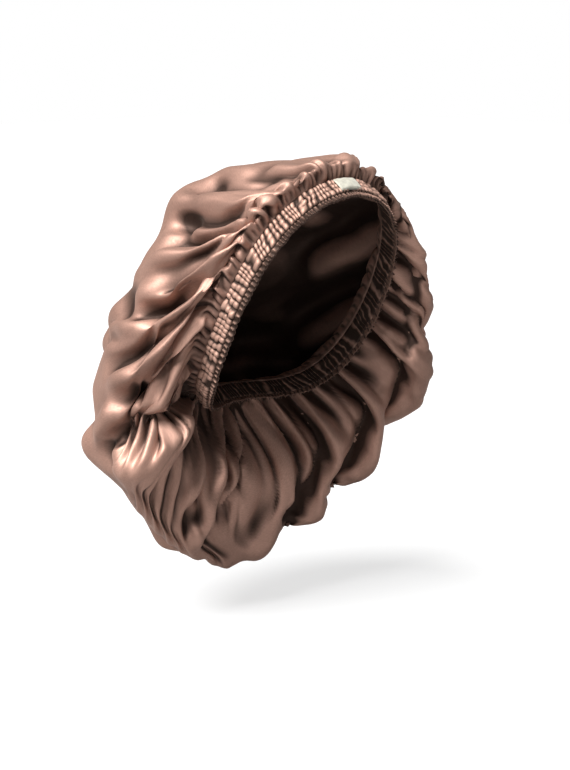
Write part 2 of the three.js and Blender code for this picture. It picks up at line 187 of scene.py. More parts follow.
def bagPoint(degrees, t):
    # Smooth bag at matching arrays of angles and ways back, on a curve through the seam, the collar,
    # the sections and the tip
    degrees, t = np.broadcast_arrays(np.asarray(degrees, float), np.asarray(t, float))
    angle = np.radians(degrees)
    stops = np.array([0.0, collar["t"]] + [row["t"] for row in bagSections] + [1.0])
    across = np.full(angle.shape, bag["bandWidth"] + bag["seamGap"])
    seam = bandPoint(angle, across, np.full(angle.shape, bag["start"]))
    tip = np.broadcast_to(np.array(bag["tip"]), seam.shape)
    points = np.array([seam, collarPoint(angle)] + [sectionPoint(row, angle) for row in bagSections] + [tip])

    slopes = np.empty_like(points)
    first = np.linalg.norm(points[1] - points[0], axis=-1, keepdims=True) / stops[1]
    outward = loopOutward(angle) * math.sqrt(1 - bag["leave"] ** 2)
    slopes[0] = first * (outward + acrossBand * bag["leave"])
    for i in range(1, len(stops)):
        after = min(i + 1, len(stops) - 1)
        slopes[i] = (points[after] - points[i - 1]) / (stops[after] - stops[i - 1])

    i = np.clip(np.searchsorted(stops, t, side="right") - 1, 0, len(stops) - 2)
    span = (stops[i + 1] - stops[i])[..., None]
    u = ((t - stops[i])[..., None]) / span
    return (
        atStop(points, i) * (2 * u ** 3 - 3 * u ** 2 + 1)
        + atStop(slopes, i) * span * (u ** 3 - 2 * u ** 2 + u)
        + atStop(points, i + 1) * (3 * u ** 2 - 2 * u ** 3)
        + atStop(slopes, i + 1) * span * (u ** 3 - u ** 2)
    )


def gridNormal(grid):
    # Outward normals of a grid of rows (t) by columns (angle) that closes round the angles
    around = np.roll(grid, -1, 1) - np.roll(grid, 1, 1)
    along = np.gradient(grid, axis=0)
    return unit(np.cross(along, around))


def smoothNoise(degrees, t, counts, alongs, amount):
    # Random waves round the bag, each drifting a little on its way to the tip
    noise = np.zeros(degrees.shape)
    for _ in range(amount):
        count, along = rng.integers(*counts), rng.uniform(*alongs)
        noise += np.sin(count * np.radians(degrees) + along * t + rng.uniform(*phases))
    return noise / math.sqrt(amount)


def wander(degrees, counts, size, heights=(0.5, 1.0)):
    # Slow random wave round the head opening that closes on itself
    angle = np.radians(degrees)
    wave = sum(np.sin(count * angle + rng.uniform(*phases)) * rng.uniform(*heights) for count in counts)
    return size * wave / math.sqrt(len(counts) / 2)


def newMesh(name, vertices, faces, flat=None, crease=None):
    # Smooth-shaded piece from points in metres; flat holds each point's place on the uncut cloth,
    # and crease how deep it lies between folds, from 0 on a crest to 1, for painted shade and highlight
    mesh = bpy.data.meshes.new(name)
    mesh.from_pydata([tuple(v) for v in vertices], [], faces)
    mesh.update()
    if flat is not None:
        corners = np.empty(len(mesh.loops), int)
        mesh.loops.foreach_get("vertex_index", corners)
        layer = mesh.uv_layers.new(name="flatCloth")
        layer.data.foreach_set("uv", flat[corners].astype(np.float32).ravel())
    if crease is not None:
        attribute = mesh.attributes.new("crease", "FLOAT", "POINT")
        attribute.data.foreach_set("value", crease.astype(np.float32).ravel())
    mesh.polygons.foreach_set("use_smooth", [True] * len(mesh.polygons))
    piece = bpy.data.objects.new(name, mesh)
    bpy.context.scene.collection.objects.link(piece)
    return piece


def flatPlace(degrees, radius):
    # Place on the flat round of cloth, in metres
    angle = np.radians(degrees)
    return np.stack([radius * np.cos(angle), radius * np.sin(angle)], -1)


def addNode(tree, kind, settings=None, **links):
    # Node whose sockets take the values or the outputs given, by name or, as _0, by number
    node = tree.nodes.new(kind)
    for key, value in (settings or {}).items():
        setattr(node, key, value)
    for name, value in links.items():
        label = name.replace("_", " ")
        socket = node.inputs[label] if label in node.inputs else node.inputs[int(name[1:])]
        if isinstance(value, bpy.types.NodeSocket):
            tree.links.new(value, socket)
        else:
            socket.default_value = value
    return node


def addGroup(name, inputs, outputs):
    # Node group with named inputs and outputs, and its two end nodes
    tree = bpy.data.node_groups.new(name, "ShaderNodeTree")
    for label, kind, value in inputs:
        socket = tree.interface.new_socket(label, in_out="INPUT", socket_type=kind)
        socket.default_value = value
    for label, kind in outputs:
        tree.interface.new_socket(label, in_out="OUTPUT", socket_type=kind)
    return tree, tree.nodes.new("NodeGroupInput"), tree.nodes.new("NodeGroupOutput")


def newMaterial(name, values):
    # Material with plain values on its shader's own sockets
    material = bpy.data.materials.new(name)
    material.use_nodes = True
    shader = material.node_tree.nodes["Principled BSDF"]
    for label, value in values.items():
        shader.inputs[label].default_value = value
    return material, material.node_tree, shader


# Folds widen and rise by spread; cut is how fast a crease takes away a crest beside it; rise and
# fade are the crest's two ends, and seamFade is where the relief comes in behind the seam
foldLook = dict(
    steps=16, nearWidth=0.6, farWidth=1.9, nearHeight=0.75, farHeight=1.35, spread=0.34, cut=6.0,
    rise=(0, 0.15), fade=(0.8, 1.02), fallPower=1.5, recoverPower=1.7, seamFade=(0.0, 0.11),
)


def foldParts(fold, points, normals, t):
    # How far a fold lifts its crest and sinks its crease
    o = foldLook
    steps = o["steps"]
    u = np.linspace(0, 1, steps + 1)
    weights = ((1 - u) * (1 - 2 * u), 4 * u * (1 - u), u * (2 * u - 1))
    crestDegrees = sum(w * fold[k] for w, k in zip(weights, ("a0", "a1", "a2")))
    crestWays = sum(w * fold[k] for w, k in zip(weights, ("t0", "t1", "t2")))
    crest = bagPoint(crestDegrees, crestWays)
    best = np.full(points.shape[:-1], np.inf)
    nearU, nearStep = np.zeros_like(best), np.zeros(best.shape, int)
    for i in range(steps):
        step = crest[i + 1] - crest[i]
        k = np.clip((points - crest[i]) @ step / (step @ step), 0, 1)
        distance = np.linalg.norm(points - crest[i] - k[..., None] * step, axis=-1)
        closer = distance < best
        best = np.where(closer, distance, best)
        nearU = np.where(closer, u[i] + k / steps, nearU)
        nearStep = np.where(closer, i, nearStep)
    turn = (np.cross(np.diff(crest, axis=0)[nearStep], points - crest[nearStep]) * normals).sum(-1)

    grown = smoothStep(t, 0, o["spread"])
    wide = o["nearWidth"] + (o["farWidth"] - o["nearWidth"]) * grown
    tall = o["nearHeight"] + (o["farHeight"] - o["nearHeight"]) * grown
    x = best * np.where(turn < 0, -1.0, 1.0) * fold["side"] / wide
    back, fall, recover = (fold[k] for k in ("back", "fall", "recover"))
    ends = tall * smoothStep(nearU, *o["rise"]) * (1 - smoothStep(nearU, *o["fade"]))
    flank = np.clip(1 - (x / back) ** 2, 0, 1) ** 2
    down = np.clip(x / fall, 0, 1)
    up = np.clip(1 - (x - fall) / recover, 0, 1)
    lift = np.where(x < 0, flank, (1 + np.cos(np.pi * down)) / 2)
    sink = np.where(x < fall, down ** o["fallPower"], up ** o["recoverPower"])
    return fold["height"] * ends * lift, fold["depth"] * ends * sink


# Folds lose their sharp creases on their way to the tip: evening passes round and along the bag,
# and the stretch over which they come in
softening = (
    dict(roundPasses=20, alongPasses=3, start=0.14, end=0.42),
    dict(roundPasses=70, alongPasses=10, start=0.42, end=0.75),
)


def softened(height, t):
    for o in softening:
        soft = height.copy()
        for _ in range(o["roundPasses"]):
            soft = (np.roll(soft, 1, 1) + 2 * soft + np.roll(soft, -1, 1)) / 4
        for _ in range(o["alongPasses"]):
            soft[1:-1] = (soft[:-2] + 2 * soft[1:-1] + soft[2:]) / 4
        height = height + (soft - height) * smoothStep(t, o["start"], o["end"])
    return height


# On the wearer's left the folds lie flatter near the casing
calmSide = dict(start=(255.0, 285.0), end=(335.0, 352.0), fade=(0.16, 0.38), share=0.5)


def relief(smooth, normals, degrees, t):
    # Height of the folds and dents over the smooth bag
    lift, sink = np.zeros(t.shape), np.zeros(t.shape)
    for fold in bagFolds:
        up, down = foldParts(fold, smooth, normals, t)
        lift, sink = np.maximum(lift, up), np.maximum(sink, down)
    height = lift * np.exp(-sink / foldLook["cut"]) - sink
    for dent in bagDents:
        x = np.linalg.norm(smooth - bagPoint(dent["a"], dent["t"]), axis=-1) / dent["radius"]
        height += dent["height"] * np.clip(1 - x * x, 0, 1) ** 2
    o = calmSide
    side = smoothStep(degrees % 360, *o["start"]) * (1 - smoothStep(degrees % 360, *o["end"]))
    side = side * (1 - smoothStep(t, *o["fade"]))
    return softened(height, t) * smoothStep(t, *foldLook["seamFade"]) * (1 - o["share"] * side)


columnSpacing = dict(own=0.75, passes=12)  # how far the columns follow their own row's cloth


def evenColumns(grid, degrees):
    # Angles that share out the length of cloth in each row evenly between the columns
    o = columnSpacing
    n = grid.shape[1]
    steps = np.linalg.norm(np.roll(grid, -1, 1) - grid, axis=-1)
    steps = o["own"] * steps + (1 - o["own"]) * steps.mean(1, keepdims=True)
    run = np.concatenate([np.zeros((len(grid), 1)), np.cumsum(steps, 1)], 1)
    run /= run[:, -1:]
    target = np.arange(n) / n
    closed = np.concatenate([degrees, degrees[:, :1] + 360], 1)
    shift = np.array([np.interp(target, run[j], closed[j]) for j in range(len(grid))]) - degrees
    for _ in range(o["passes"]):
        shift[1:-1] = (shift[:-2] + 2 * shift[1:-1] + shift[2:]) / 4
    return degrees + shift


# Gathers that run straight back from the casing: how many go round, how high they stand, where
# they are highest and where they have faded into the folds
gathers = (
    dict(count=104, height=1.5, full=0.02, end=0.075, drift=1.6, slant=5.0),
    dict(count=58, height=2.3, full=0.06, end=0.17, drift=2.2, slant=7.0),
    dict(count=31, height=2.4, full=0.13, end=0.34, drift=2.6, slant=6.0),
)
# What keeps the gathers from being even, and the shape of their crests
gatherShape = dict(
    driftWaves=(3, 5, 8, 13, 21), slantWaves=(2, 3, 7), heightWaves=(9, 14, 23, 37),
    uneven=0.4, lowest=0.2, highest=1.7, sharp=0.75, level=0.62,
)


def gatherHeight(degrees, t):
    # Rounded crests with sharp creases between them, of uneven height
    p = gatherShape
    height = np.zeros(degrees.shape)
    for o in gathers:
        drift = wander(degrees, p["driftWaves"], o["drift"])
        drift = drift + o["slant"] * t * wander(degrees, p["slantWaves"], 1.0)
        crest = np.abs(np.cos(o["count"] * np.radians(degrees) / 2 + drift)) ** p["sharp"]
        uneven = np.clip(1 + p["uneven"] * wander(degrees, p["heightWaves"], 1.0), p["lowest"], p["highest"])
        here = smoothStep(t, 0, o["full"]) * (1 - smoothStep(t, o["full"], o["end"]))
        height += o["height"] * here * uneven * (crest - p["level"])
    return height


# The cloth has more length round the bag than its folds take up, so it buckles into smaller ones
settling = dict(
    passes=260, evenPasses=30,
    body=0.34, bodyFade=(0.3, 0.8), tip=0.2, seam=0.12, seamFade=(0.0, 0.2), along=1.01,  # spare length
    waves=(24, 110), slants=(-6, 6), waveAmount=24, start=0.5, startFade=(0, 0.02),  # to start from
    pull=0.22, straight=0.5, slanting=0.15,  # along the threads and across them
    bend=0.02, wideBend=0.009, anchor=0.004, limitSeam=1.2, limitBody=7.0,
)


def lap(grid, stride):
    # Difference between each point and its four neighbours a few places away
    padded = np.concatenate([grid[:1]] * stride + [grid] + [grid[-1:]] * stride)
    rows = padded[2 * stride:] + padded[:-2 * stride]
    return rows + np.roll(grid, stride, 1) + np.roll(grid, -stride, 1) - 4 * grid


def threadStep(way, rest, share):
    # Step along a thread that brings it nearer to its length at rest
    length = np.sqrt((way * way).sum(-1))
    return way * (share * (1 - rest / length))[..., None]


def settle(grid, normals, degrees, t):
    o = settling
    growth = 1 + o["tip"] + o["body"] * (1 - smoothStep(t, *o["bodyFade"]))
    growth = growth + o["seam"] * (1 - smoothStep(t, *o["seamFade"]))
    base = grid.astype(np.float32)
    normals = normals.astype(np.float32)
    around = np.linalg.norm(np.roll(base, -1, 1) - base, axis=-1)
    for _ in range(o["evenPasses"]):
        around = (np.roll(around, 1, 1) + around + np.roll(around, -1, 1)) / 3
    around *= growth
    down = np.linalg.norm(np.diff(base, axis=0), axis=-1) * o["along"]
    slant = np.sqrt(((around[1:] + around[:-1]) / 2) ** 2 + down ** 2)
    limit = o["limitSeam"] + (o["limitBody"] - o["limitSeam"]) * smoothStep(t, *o["seamFade"])
    limit = limit.astype(np.float32)[..., None]
    noise = smoothNoise(degrees, t, o["waves"], o["slants"], o["waveAmount"])
    noise = noise * smoothStep(t, *o["startFade"]) * o["start"]
    moved = (normals * noise[..., None]).astype(np.float32)

    for _ in range(o["passes"]):
        now = base + moved
        step = threadStep(np.roll(now, -1, 1) - now, around, o["straight"])
        change = step - np.roll(step, 1, 1)
        step = threadStep(now[1:] - now[:-1], down, o["straight"])
        change[:-1] += step
        change[1:] -= step
        for side in (1, -1):
            step = threadStep(np.roll(now, -side, 1)[1:] - now[:-1], slant, o["slanting"])
            change[:-1] += step
            change[1:] -= np.roll(step, side, 1)
        moved += o["pull"] * change
        for stride, weight in ((1, o["bend"]), (2, o["wideBend"])):
            moved -= weight * lap(lap(moved, stride), stride)
        moved -= o["anchor"] * (moved * normals).sum(-1, keepdims=True) * normals
        reach = np.sqrt((moved * moved).sum(-1, keepdims=True))
        moved *= np.minimum(1, limit / np.maximum(reach, 1e-6))
        moved[0] = 0
    print("settled:", round(float(np.abs(moved).max()), 2), "mm at most")
    return base + moved


def foldedGrid(degrees, t):
    smooth = bagPoint(degrees, t)
    normals = gridNormal(smooth)
    return smooth + normals * relief(smooth, normals, degrees, t)[..., None], normals


def bagGrid():
    # Outer face of the bag, with the angle and way back of each of its points
    n, m = bag["columns"], bag["rows"]
    s = np.linspace(0, 1, m)
    ways = bag["reach"] * (bag["evenRows"] * s + bag["drawnRows"] * s ** bag["drawn"])
    degrees, t = np.meshgrid(np.arange(n) * 360.0 / n, ways)
    for _ in range(2):
        degrees = evenColumns(foldedGrid(degrees, t)[0], degrees)
    grid, normals = foldedGrid(degrees, t)
    grid += gridNormal(grid) * gatherHeight(degrees, t)[..., None]
    print("folded")
    return settle(grid, normals, degrees, t).astype(float), degrees, t


def evened(grid, passes):
    # The grid without its small folds
    for _ in range(passes):
        grid = (np.roll(grid, 1, 1) + 2 * grid + np.roll(grid, -1, 1)) / 4
        grid[1:-1] = (grid[:-2] + 2 * grid[1:-1] + grid[2:]) / 4
    return grid


# Creases are read against the cloth near by and further off
creaseReading = (dict(passes=16, depth=1.1, share=0.4), dict(passes=300, depth=4.5, share=0.6))


def creaseDepth(grid, normals):
    # How deep each point lies against the cloth round it, from 0 on a crest to 1
    crease = np.full(grid.shape[:2], 0.5)
    for o in creaseReading:
        under = ((evened(grid, o["passes"]) - grid) * normals).sum(-1)
        crease += 0.5 * o["share"] * np.tanh(under / o["depth"])
    return crease


def insideGrid(grid):
    # Inner face of the double cloth: smoother than the outside, and under its creases
    even = evened(grid, bag["evenPasses"])
    normals = gridNormal(even)
    under = ((even - grid) * normals).sum(-1)
    places = range(-bag["reachUnder"], bag["reachUnder"] + 1)
    for axis in (0, 1):
        under = np.max([np.roll(under, k, axis) for k in places], 0)
    under = evened(np.clip(under, 0, bag["deepest"]), bag["softPasses"])
    return even - normals * (under + bag["wall"])[..., None]


def bandFaces(first, rows, columns, inwards):
    # Quads of a grid that closes round its columns, from the number of its first point
    faces = []
    for j in range(rows - 1):
        a = first + j * columns + np.arange(columns)
        b = first + j * columns + (np.arange(columns) + 1) % columns
        corners = [a, b, b + columns, a + columns] if inwards else [a, a + columns, b + columns, b]
        faces += np.stack(corners, -1).tolist()
    return faces


def buildCrown():
    grid, degrees, t = bagGrid()
    every = bag["insideEvery"]
    inner = insideGrid(grid)[::every, ::every]
    m, n = grid.shape[:2]
    mi, ni = inner.shape[:2]
    tip = np.array(bag["tip"])
    innerTip = tip - [0, bag["wall"], 0]
    vertices = np.concatenate([grid.reshape(-1, 3), [tip], inner.reshape(-1, 3), [innerTip]]) * mm
    base = m * n + 1
    last = base + mi * ni
    faces = bandFaces(0, m, n, False)
    for i in range(n):
        faces.append([(m - 1) * n + i, m * n, (m - 1) * n + (i + 1) % n])
    faces += bandFaces(base, mi, ni, True)
    for i in range(ni):
        after = (i + 1) % ni
        faces.append([base + (mi - 1) * ni + i, base + (mi - 1) * ni + after, last])
        faces.append([base + i, i * every, i * every + 1, (i * every + 2) % n, base + after])
    flat = flatPlace(degrees, bag["flatRadius"] * (1 - t))
    flatInside = flat[::every, ::every].reshape(-1, 2)
    flat = np.concatenate([flat.reshape(-1, 2), [[0, 0]], flatInside, [[0, 0]]])
    # Painted shade in the creases and painted highlight on the crests; the inner face takes the reverse
    crease = creaseDepth(grid, gridNormal(grid))
    creaseInside = 1 - crease[::every, ::every]
    crease = np.concatenate([crease.ravel(), [0.5], creaseInside.ravel(), [0.5]])
    piece = newMesh("crown_satin", vertices, faces, flat, crease)
    print("crown:", len(faces), "faces")
    return piece


def ringMesh(name, points, flat, crease):
    # Closed ring from a grid of columns by section points, each section going round the band
    count, size = points.shape[:2]
    i, k = np.meshgrid(np.arange(count), np.arange(size), indexing="ij")
    here, beside, after = i * size, (i + 1) % count * size, (k + 1) % size
    faces = np.stack([here + k, beside + k, beside + after, here + after], -1).reshape(-1, 4).tolist()
    return newMesh(name, points.reshape(-1, 3) * mm, faces, flat.reshape(-1, 2), crease)


ruching = dict(
    columns=1680, outerPoints=27, innerPoints=9, rows=(0.0, 5.0, 9.2, 14.0),  # rows bound the channels
    seat=0.3, crest=2.2, puff=0.5, flatShare=0.6, sharp=0.85, inside=0.9, insideRuche=0.9, insideLevel=0.6,
    ruches=132, wander=3.2, waves=(3, 5, 8, 13, 21, 34),
    channelWander=1.3, channelWaves=(7, 11, 17, 29, 43), blend=1.6,
    slant=2.6, slantUneven=1.3, slantWaves=(2, 4, 9, 15), lean=0.5, leanShare=0.35,
    uneven=0.34, unevenWaves=(19, 31, 47, 67), lowest=0.35, highest=1.6,
    creaseRange=0.85, insideCrease=(0.3, 0.6), stitchLift=0.12,
)


def channelPuff(outer, rows):
    # How far each place across the band stands up between its two rows of stitches, from 0 to 1
    channel = np.clip(np.searchsorted(rows, outer, side="right") - 1, 0, len(rows) - 2)
    middle = np.array([(rows[c] + rows[c + 1]) / 2 for c in channel])
    half = np.array([(rows[c + 1] - rows[c]) / 2 for c in channel])
    return np.sqrt(np.clip(1 - ((outer - middle) / half) ** 2, 0, 1))


def buildCasing():
    # Three channels with two rows of stitches between them, ruched into slanting pleats by the elastic
    o = ruching
    rows, width = o["rows"], bag["bandWidth"]
    degrees = np.arange(o["columns"]) * 360.0 / o["columns"]
    outer = np.linspace(0, width, o["outerPoints"])
    puff = channelPuff(outer, rows)[None]
    full = partly(o["flatShare"], puff)

    general = wander(degrees, o["waves"], o["wander"])
    own = np.array([wander(degrees, o["channelWaves"], o["channelWander"]) for _ in rows[:3]])
    blend = smoothStep(outer[None] - np.array(rows[:3])[:, None], -o["blend"], o["blend"])
    weights = np.array([1 - blend[1], blend[1] * (1 - blend[2]), blend[2]])
    tilt = o["slant"] * (outer - width / 2) / width
    phase = (
        o["ruches"] * np.radians(degrees)[:, None] + general[:, None] + own.T @ weights
        + tilt[None] * wander(degrees, o["slantWaves"], o["slantUneven"])[:, None]
    )
    ridge = (0.5 + 0.5 * np.cos(phase)) ** o["sharp"]
    size = 1 + o["uneven"] * wander(degrees, o["unevenWaves"], 1.0)[:, None]
    size = np.clip(size, o["lowest"], o["highest"])
    out = o["seat"] + o["crest"] * ridge * size * full + o["puff"] * puff
    turn = np.degrees(o["lean"] * np.sin(phase) / opening["halfWidth"]) * partly(o["leanShare"], puff)

    inner = np.linspace(width, 0, o["innerPoints"])
    at = np.searchsorted(outer, inner).clip(0, len(outer) - 1)
    innerOut = -o["inside"] + o["insideRuche"] * (o["insideLevel"] - ridge[:, at])
    across = np.concatenate([outer, inner])[None] * np.ones((len(degrees), 1))
    outs = np.concatenate([out, innerOut], 1)
    turns = np.concatenate([turn, turn[:, at]], 1)
    points = bandPoint(np.radians(degrees[:, None] + turns), across, outs)
    flat = flatPlace(degrees[:, None], bag["flatRadius"] + (width - across) * mm)
    # Painted shade between the ruches and painted highlight on their ridges, and painted shade on the inner
    # face along them
    least, more = o["insideCrease"]
    crease = np.concatenate([1 - o["creaseRange"] * ridge * full, least + more * ridge[:, at]], 1)
    points, flat, crease = points[:, ::-1], flat[:, ::-1], crease[:, ::-1]

    stitchPaths = []
    for row in rows[1:3]:
        k = int(np.argmin(np.abs(outer - row)))
        place = np.full(len(degrees), row)
        stitchPaths.append(bandPoint(np.radians(degrees), place, out[:, k] + o["stitchLift"]) * mm)
    return ringMesh("casing_satin", points, flat, crease), stitchPaths


ruffle = dict(
    columns=1680, across=7, width=4.0, thick=0.7, rootThick=1.5, gap=0.12,
    ruffles=158, wander=1.8, waves=(5, 9, 14, 23, 37), roll=0.9, sway=1.35, swayShare=0.25, lean=0.9,
    uneven=0.3, unevenWaves=(13, 27, 41), unevenWidth=0.1, widthWaves=(17, 33, 51),
    creaseLevel=0.55, creaseRange=0.45, creaseShare=0.3,
)


def buildFrill():
    # Narrow ruffled edge that stands off the casing towards the face
    o = ruffle
    degrees = np.arange(o["columns"]) * 360.0 / o["columns"]
    reach = np.linspace(0, 1, o["across"])[None]
    phase = (
        o["ruffles"] * np.radians(degrees)[:, None] + wander(degrees, o["waves"], o["wander"])[:, None]
        + o["roll"] * reach
    )
    size = 1 + o["uneven"] * wander(degrees, o["unevenWaves"], 1.0)[:, None]
    sway = o["sway"] * partly(o["swayShare"], reach) * np.sin(phase) * size
    turn = np.degrees(o["lean"] * reach * np.cos(phase) / opening["halfWidth"])
    width = o["width"] * (1 + o["unevenWidth"] * wander(degrees, o["widthWaves"], 1.0)[:, None])
    across = -o["gap"] - width * reach
    thick = o["thick"] + (o["rootThick"] - o["thick"]) * (1 - reach) ** 3
    angle = np.radians(degrees[:, None] + turn)
    front = bandPoint(angle, across, sway + thick / 2)
    behind = bandPoint(angle, across, sway - thick / 2)
    points = np.concatenate([front, behind[:, ::-1]], 1)
    flat = flatPlace(degrees[:, None], bag["flatRadius"] + (bag["bandWidth"] - across) * mm)
    flat = np.concatenate([flat, flat[:, ::-1]], 1)
    # Painted shade and painted highlight in bands that follow the sway of each ruffle
    crease = o["creaseLevel"] - o["creaseRange"] * np.sin(phase) * partly(o["creaseShare"], reach)
    crease = np.concatenate([crease, 1 - crease[:, ::-1]], 1)
    return ringMesh("frill_satin", points, flat, crease)


stitches = dict(perRow=168, length=0.0023, thick=0.00042, segments=8, rings=6)  # metres


def stitchTree(material):
    # Small threads along a path, each lying in line with it
    tree = bpy.data.node_groups.new("stitchesAlong", "GeometryNodeTree")
    for label, kind in (
        ("Geometry", "NodeSocketGeometry"), ("Count", "NodeSocketInt"),
        ("Length", "NodeSocketFloat"), ("Thickness", "NodeSocketFloat"),
    ):
        tree.interface.new_socket(label, in_out="INPUT", socket_type=kind)
    tree.interface.new_socket("Geometry", in_out="OUTPUT", socket_type="NodeSocketGeometry")
    given, result = tree.nodes.new("NodeGroupInput"), tree.nodes.new("NodeGroupOutput")
    segments, rings = stitches["segments"], stitches["rings"]
    path = addNode(tree, "GeometryNodeMeshToCurve", Mesh=given.outputs["Geometry"]).outputs[0]
    even = addNode(tree, "GeometryNodeResampleCurve", Curve=path, Count=given.outputs["Count"]).outputs[0]
    thread = addNode(tree, "GeometryNodeMeshUVSphere", Segments=segments, Rings=rings, Radius=0.5).outputs[0]
    tangent = addNode(tree, "GeometryNodeInputTangent").outputs[0]
    turned = addNode(tree, "FunctionNodeAlignRotationToVector", dict(axis="Z"), Vector=tangent).outputs[0]
    thick = given.outputs["Thickness"]
    shape = addNode(tree, "ShaderNodeCombineXYZ", X=thick, Y=thick, Z=given.outputs["Length"]).outputs[0]
    placed = addNode(
        tree, "GeometryNodeInstanceOnPoints", Points=even, Instance=thread, Rotation=turned, Scale=shape,
    ).outputs[0]
    real = addNode(tree, "GeometryNodeRealizeInstances", Geometry=placed).outputs[0]
    colored = addNode(tree, "GeometryNodeSetMaterial", Geometry=real, Material=material).outputs[0]
    smooth = addNode(tree, "GeometryNodeSetShadeSmooth", Geometry=colored).outputs[0]
    tree.links.new(smooth, result.inputs[0])
    return tree


def buildStitches(paths, material):
    tree = stitchTree(material)
    vertices = np.concatenate(paths)
    edges = []
    for k, path in enumerate(paths):
        first = k * len(path)
        edges += [(first + i, first + (i + 1) % len(path)) for i in range(len(path))]
    mesh = bpy.data.meshes.new("stitchPaths")
    mesh.from_pydata([tuple(v) for v in vertices], edges, [])
    guide = bpy.data.objects.new("stitchPaths", mesh)
    bpy.context.scene.collection.objects.link(guide)
    modifier = guide.modifiers.new("stitches", "NODES")
    modifier.node_group = tree
    sockets = {item.name: item.identifier for item in tree.interface.items_tree if item.in_out == "INPUT"}
    modifier[sockets["Count"]] = stitches["perRow"]
    modifier[sockets["Length"]] = stitches["length"]
    modifier[sockets["Thickness"]] = stitches["thick"]
    bpy.context.view_layer.update()
    done = bpy.data.meshes.new_from_object(guide.evaluated_get(bpy.context.evaluated_depsgraph_get()))
    bpy.data.objects.remove(guide)
    piece = bpy.data.objects.new("casing_stitches", done)
    bpy.context.scene.collection.objects.link(piece)
    print("stitches:", len(done.polygons), "faces")
    return piece


# The tape's edges are tucked down over a strip that is this share of its height or half width
tab = dict(
    width=20.0, height=12.4, thick=0.8, lift=3.0, cells=(48, 30), fold=0.5, crinkle=0.22,
    edge=0.14, tuck=1.3, endTuck=0.5,
)


def buildLabel():
    # Bare woven tab over the front of the casing
    o = tab
    nu, nv = o["cells"]
    u, v = np.meshgrid(np.linspace(-1, 1, nu + 1), np.linspace(0, 1, nv + 1), indexing="ij")
    angle = u * o["width"] / 2 / opening["halfWidth"]
    across = (bag["bandWidth"] - o["height"]) / 2 + v * o["height"]
    edge, inside = o["edge"], 1 - o["edge"]
    longEdges = np.clip(1 - v / edge, 0, 1) ** 2 + np.clip((v - inside) / edge, 0, 1) ** 2
    shortEdges = np.clip((np.abs(u) - inside) / edge, 0, 1) ** 2
    tuck = -o["tuck"] * longEdges - o["endTuck"] * shortEdges
    waves = np.sin(3.1 * u + 5 * v) * np.sin(2.2 * v + 1.3) + 0.5 * np.sin(9 * u - 4 * v)
    out = o["lift"] + tuck + o["crinkle"] * waves + o["fold"] * np.sin(np.pi * v)
    outer = bandPoint(angle, across, out + o["thick"])
    inner = bandPoint(angle, across, out)
    points = np.concatenate([outer.reshape(-1, 3), inner.reshape(-1, 3)]) * mm

    top = np.arange((nu + 1) * (nv + 1)).reshape(nu + 1, nv + 1)
    under = (top + top.size).tolist()
    top = top.tolist()
    faces = []
    for i in range(nu):
        for j in range(nv):
            faces.append([top[i][j + 1], top[i + 1][j + 1], top[i + 1][j], top[i][j]])
            faces.append([under[i + 1][j], under[i + 1][j + 1], under[i][j + 1], under[i][j]])
    for i in range(nu):
        faces.append([top[i][0], top[i + 1][0], under[i + 1][0], under[i][0]])
        faces.append([under[i][nv], under[i + 1][nv], top[i + 1][nv], top[i][nv]])
    for j in range(nv):
        faces.append([under[0][j], under[0][j + 1], top[0][j + 1], top[0][j]])
        faces.append([top[nu][j], top[nu][j + 1], under[nu][j + 1], under[nu][j]])
    flat = np.stack([u * o["width"] / 2, v * o["height"]], -1).reshape(-1, 2) * mm
    return newMesh("label_tape", points, faces, np.concatenate([flat, flat]))


# Threads, slubs and tones are counted per metre, and bumpHeight is metres
satin = dict(
    threads=2600.0, warpStretch=9.0, threadShade=(0.84, 1.16), slubs=420.0, slubRoughness=(-0.04, 0.05),
    tones=14.0, tone=0.16, depth=0.55, bump=0.22, bumpHeight=0.0002,
    specular=0.15, sheenRoughness=0.45, sheenTint=(0.95, 0.72, 0.6, 1), creaseRange=(0.25, 0.74),
)


def mapRange(tree, value, start, end, low, high):
    return addNode(
        tree, "ShaderNodeMapRange", Value=value, From_Min=start, From_Max=end, To_Min=low, To_Max=high,
    ).outputs[0]


def mathNode(tree, operation, *values):
    return addNode(
        tree, "ShaderNodeMath", dict(operation=operation), **{f"_{i}": v for i, v in enumerate(values)},
    ).outputs[0]


def scaled(tree, color, share):
    return addNode(tree, "ShaderNodeVectorMath", dict(operation="SCALE"), _0=color, Scale=share).outputs[0]


def noiseNode(tree, place, scale, detail):
    return addNode(tree, "ShaderNodeTexNoise", Vector=place, Scale=scale, Detail=detail).outputs[0]


